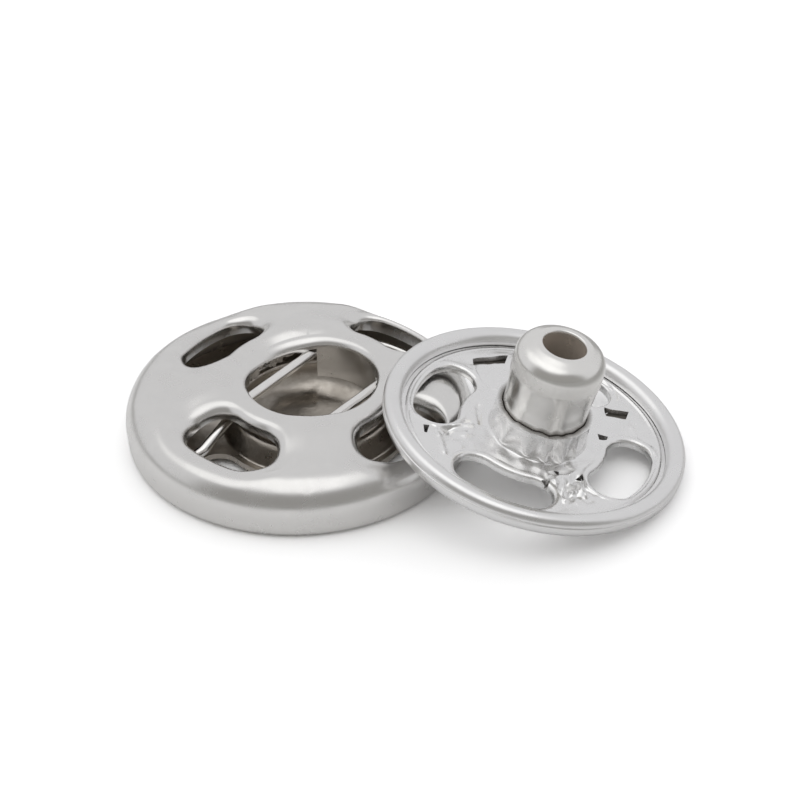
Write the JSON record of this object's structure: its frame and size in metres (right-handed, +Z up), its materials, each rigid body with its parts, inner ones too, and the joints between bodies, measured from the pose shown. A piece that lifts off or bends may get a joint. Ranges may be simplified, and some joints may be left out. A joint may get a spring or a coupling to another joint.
{
  "type": "snap fastener",
  "caption": "Sew-on metal snap fastener: a domed socket half with a trapped wire spring, and a stud half with a hollow round-headed post leaning on it.",
  "frame": {"origin": "on the axis of the socket's mouth, at the table under the socket's cup", "axes": "+Z up out of the socket's mouth; +X towards the stud half, which leans on the socket's shoulder"},
  "size_m": [0.0337, 0.0239, 0.0098],
  "materials": {
    "socket_nickel": "satin nickel plating, tumbled",
    "socket_inner_nickel": "dull nickel plating",
    "spring_steel": "bright drawn wire",
    "stud_rim_nickel": "bright nickel plating",
    "stud_plate_nickel": "bright nickel plating, slightly wrinkled",
    "post_nickel": "bright nickel plating"
  },
  "bodies": {
    "root": {"socket_cover": "socket_nickel", "socket_back_plate": "socket_inner_nickel", "spring_wire": "spring_steel", "stud_back_plate": "stud_rim_nickel", "stud_face_plate": "stud_plate_nickel", "stud_post": "post_nickel"}
  },
  "joints": []
}
